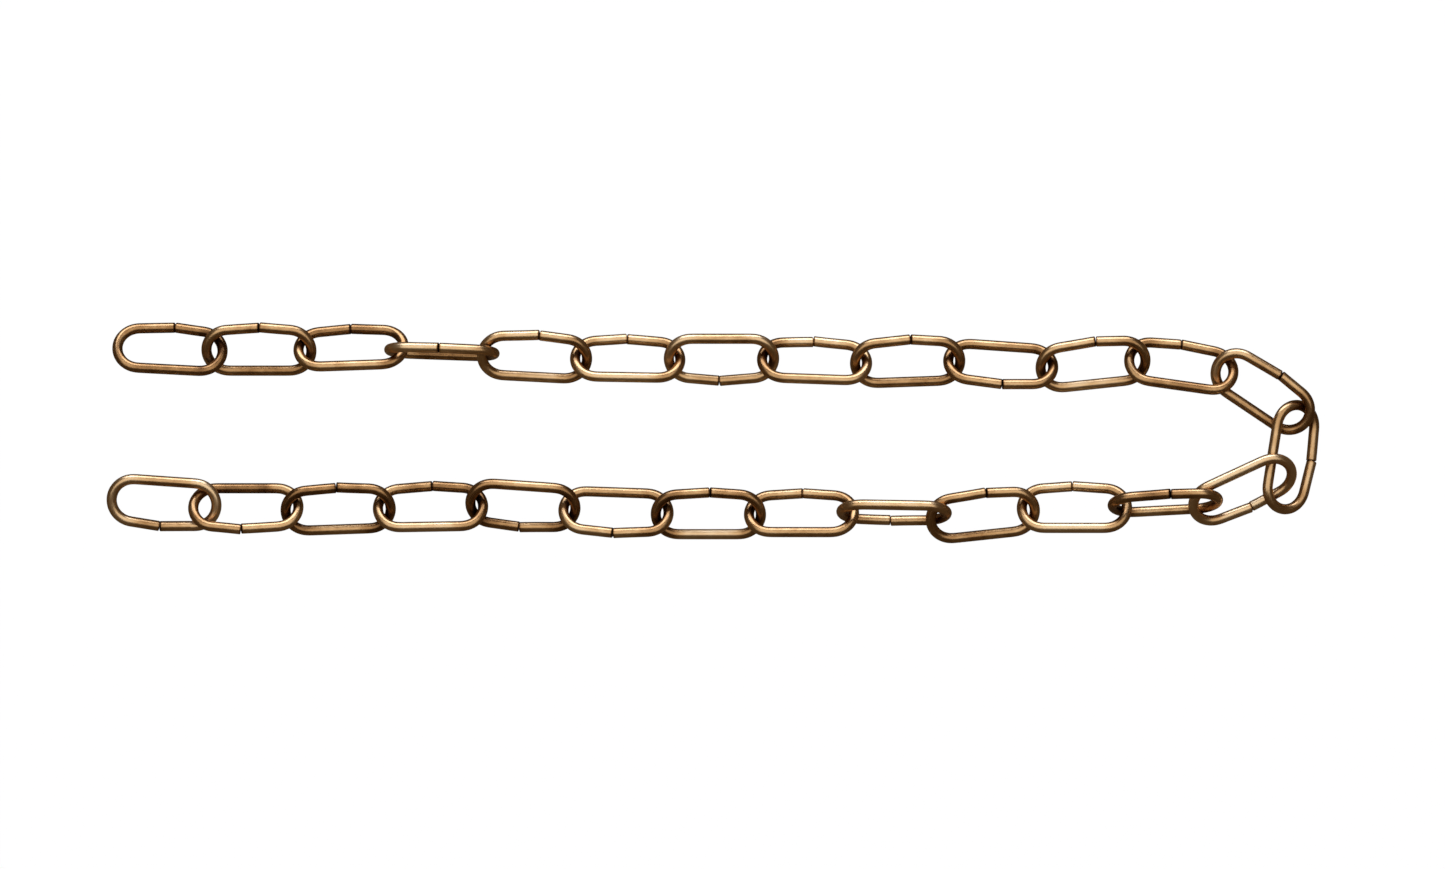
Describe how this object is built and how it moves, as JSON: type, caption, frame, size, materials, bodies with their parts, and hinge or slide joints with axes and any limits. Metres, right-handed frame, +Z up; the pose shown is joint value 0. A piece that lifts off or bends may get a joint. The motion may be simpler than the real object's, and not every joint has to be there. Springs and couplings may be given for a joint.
{
  "type": "pocket watch chain",
  "caption": "Plain oval-link watch chain in antique brass wire, butt-jointed links and no end fittings, laid out in a long U; each link hinges on its neighbour.",
  "frame": {"origin": "on the surface that the chain lies on, under the middle of its bounding box", "axes": "+X along the two runs towards the bend, +Y across the runs towards the run that starts with link_01, +Z up from the surface"},
  "size_m": [0.1762, 0.032, 0.0082],
  "materials": {
    "antique_brass": "satin drawn wire, darkened with age in the bends and rubbed bright on the long sides"
  },
  "bodies": {
    "link_01": {"link_01": "antique_brass"},
    "link_02": {"link_02": "antique_brass"},
    "link_03": {"link_03": "antique_brass"},
    "link_04": {"link_04": "antique_brass"},
    "link_05": {"link_05": "antique_brass"},
    "link_06": {"link_06": "antique_brass"},
    "link_07": {"link_07": "antique_brass"},
    "link_08": {"link_08": "antique_brass"},
    "link_09": {"link_09": "antique_brass"},
    "link_10": {"link_10": "antique_brass"},
    "link_11": {"link_11": "antique_brass"},
    "link_12": {"link_12": "antique_brass"},
    "link_13": {"link_13": "antique_brass"},
    "link_14": {"link_14": "antique_brass"},
    "link_15": {"link_15": "antique_brass"},
    "link_16": {"link_16": "antique_brass"},
    "link_17": {"link_17": "antique_brass"},
    "link_18": {"link_18": "antique_brass"},
    "link_19": {"link_19": "antique_brass"},
    "link_20": {"link_20": "antique_brass"},
    "link_21": {"link_21": "antique_brass"},
    "link_22": {"link_22": "antique_brass"},
    "link_23": {"link_23": "antique_brass"},
    "link_24": {"link_24": "antique_brass"},
    "link_25": {"link_25": "antique_brass"},
    "link_26": {"link_26": "antique_brass"},
    "link_27": {"link_27": "antique_brass"}
  },
  "joints": [
    {"name": "link_01_hinge", "type": "hinge", "parent": "link_02", "child": "link_01", "pos_m": [-0.0735, 0.01198, 0.00207], "axis": [0.008, -0.735, -0.678], "range_deg": [-90, 90]},
    {"name": "link_27_hinge", "type": "hinge", "parent": "link_26", "child": "link_27", "pos_m": [-0.0754, -0.01082, 0.00233], "axis": [0.116, 0.338, -0.934], "range_deg": [-90, 90]},
    {"name": "link_02_hinge", "type": "hinge", "parent": "link_03", "child": "link_02", "pos_m": [-0.0601, 0.01201, 0.00292], "axis": [0.122, 0.7393, -0.6622], "range_deg": [-90, 90]},
    {"name": "link_26_hinge", "type": "hinge", "parent": "link_25", "child": "link_26", "pos_m": [-0.06199, -0.01139, 0.00223], "axis": [0.099, 0.7982, 0.5942], "range_deg": [-90, 90]},
    {"name": "link_03_hinge", "type": "hinge", "parent": "link_04", "child": "link_03", "pos_m": [-0.0469, 0.01204, 0.0039], "axis": [-0.189, 0.197, 0.962], "range_deg": [-90, 90]},
    {"name": "link_25_hinge", "type": "hinge", "parent": "link_24", "child": "link_25", "pos_m": [-0.0486, -0.01096, 0.00251], "axis": [-0.02, -0.6658, 0.7458], "range_deg": [-90, 90]},
    {"name": "link_04_hinge", "type": "hinge", "parent": "link_05", "child": "link_04", "pos_m": [-0.03347, 0.01138, 0.00364], "axis": [-0.089, -0.9672, -0.238], "range_deg": [-90, 90]},
    {"name": "link_24_hinge", "type": "hinge", "parent": "link_23", "child": "link_24", "pos_m": [-0.03518, -0.00999, 0.00258], "axis": [0.079, -0.8368, -0.5418], "range_deg": [-90, 90]},
    {"name": "link_05_hinge", "type": "hinge", "parent": "link_06", "child": "link_05", "pos_m": [-0.02, 0.01081, 0.00277], "axis": [-0.041, 0.7912, -0.6102], "range_deg": [-90, 90]},
    {"name": "link_23_hinge", "type": "hinge", "parent": "link_22", "child": "link_23", "pos_m": [-0.0217, -0.01116, 0.00233], "axis": [0.122, 0.7393, -0.6622], "range_deg": [-90, 90]},
    {"name": "link_06_hinge", "type": "hinge", "parent": "link_07", "child": "link_06", "pos_m": [-0.0064, 0.01078, 0.00285], "axis": [-0.079, 0.8368, 0.5418], "range_deg": [-90, 90]},
    {"name": "link_22_hinge", "type": "hinge", "parent": "link_21", "child": "link_22", "pos_m": [-0.0083, -0.01182, 0.00213], "axis": [0.099, 0.7982, 0.5942], "range_deg": [-90, 90]},
    {"name": "link_07_hinge", "type": "hinge", "parent": "link_08", "child": "link_07", "pos_m": [0.00711, 0.01064, 0.00309], "axis": [-0.122, -0.7393, 0.6622], "range_deg": [-90, 90]},
    {"name": "link_21_hinge", "type": "hinge", "parent": "link_20", "child": "link_21", "pos_m": [0.00523, -0.01172, 0.00225], "axis": [-0.02, -0.6658, 0.7458], "range_deg": [-90, 90]},
    {"name": "link_08_hinge", "type": "hinge", "parent": "link_09", "child": "link_08", "pos_m": [0.02061, 0.01001, 0.00248], "axis": [-0.036, -0.8882, -0.4581], "range_deg": [-90, 90]},
    {"name": "link_20_hinge", "type": "hinge", "parent": "link_19", "child": "link_20", "pos_m": [0.0186, -0.01139, 0.00408], "axis": [0.027, -0.439, -0.8981], "range_deg": [-90, 90]},
    {"name": "link_09_hinge", "type": "hinge", "parent": "link_10", "child": "link_09", "pos_m": [0.03412, 0.01051, 0.00257], "axis": [-0.041, 0.7912, -0.6102], "range_deg": [-90, 90]},
    {"name": "link_19_hinge", "type": "hinge", "parent": "link_18", "child": "link_19", "pos_m": [0.03156, -0.01272, 0.00314], "axis": [0.142, 0.9897, 0.018], "range_deg": [-40, 90]},
    {"name": "link_10_hinge", "type": "hinge", "parent": "link_11", "child": "link_10", "pos_m": [0.04754, 0.00918, 0.00223], "axis": [0.036, 0.8882, 0.4581], "range_deg": [-90, 90]},
    {"name": "link_18_hinge", "type": "hinge", "parent": "link_17", "child": "link_18", "pos_m": [0.04481, -0.01092, 0.00201], "axis": [0.133, -0.7078, 0.6938], "range_deg": [-90, 90]},
    {"name": "link_11_hinge", "type": "hinge", "parent": "link_12", "child": "link_11", "pos_m": [0.06038, 0.01074, 0.00253], "axis": [-0.02, -0.6658, 0.7458], "range_deg": [-90, 90]},
    {"name": "link_17_hinge", "type": "hinge", "parent": "link_16", "child": "link_17", "pos_m": [0.05792, -0.01052, 0.0036], "axis": [0.106, -0.4571, -0.8831], "range_deg": [-90, 90]},
    {"name": "link_12_hinge", "type": "hinge", "parent": "link_13", "child": "link_12", "pos_m": [0.07552, 0.00861, 0.00227], "axis": [-0.126, -0.5018, 0.8557], "range_deg": [-90, 90]},
    {"name": "link_16_hinge", "type": "hinge", "parent": "link_15", "child": "link_16", "pos_m": [0.07235, -0.01015, 0.00384], "axis": [-0.18, 0.423, -0.8881], "range_deg": [-90, 70]},
    {"name": "link_13_hinge", "type": "hinge", "parent": "link_14", "child": "link_13", "pos_m": [0.08583, 0.00229, 0.00275], "axis": [-0.4761, -0.3981, -0.7841], "range_deg": [-35, 90]},
    {"name": "link_15_hinge", "type": "hinge", "parent": "link_14", "child": "link_15", "pos_m": [0.08316, -0.00804, 0.00336], "axis": [0.5032, 0.092, 0.8593], "range_deg": [-5, 90]}
  ]
}
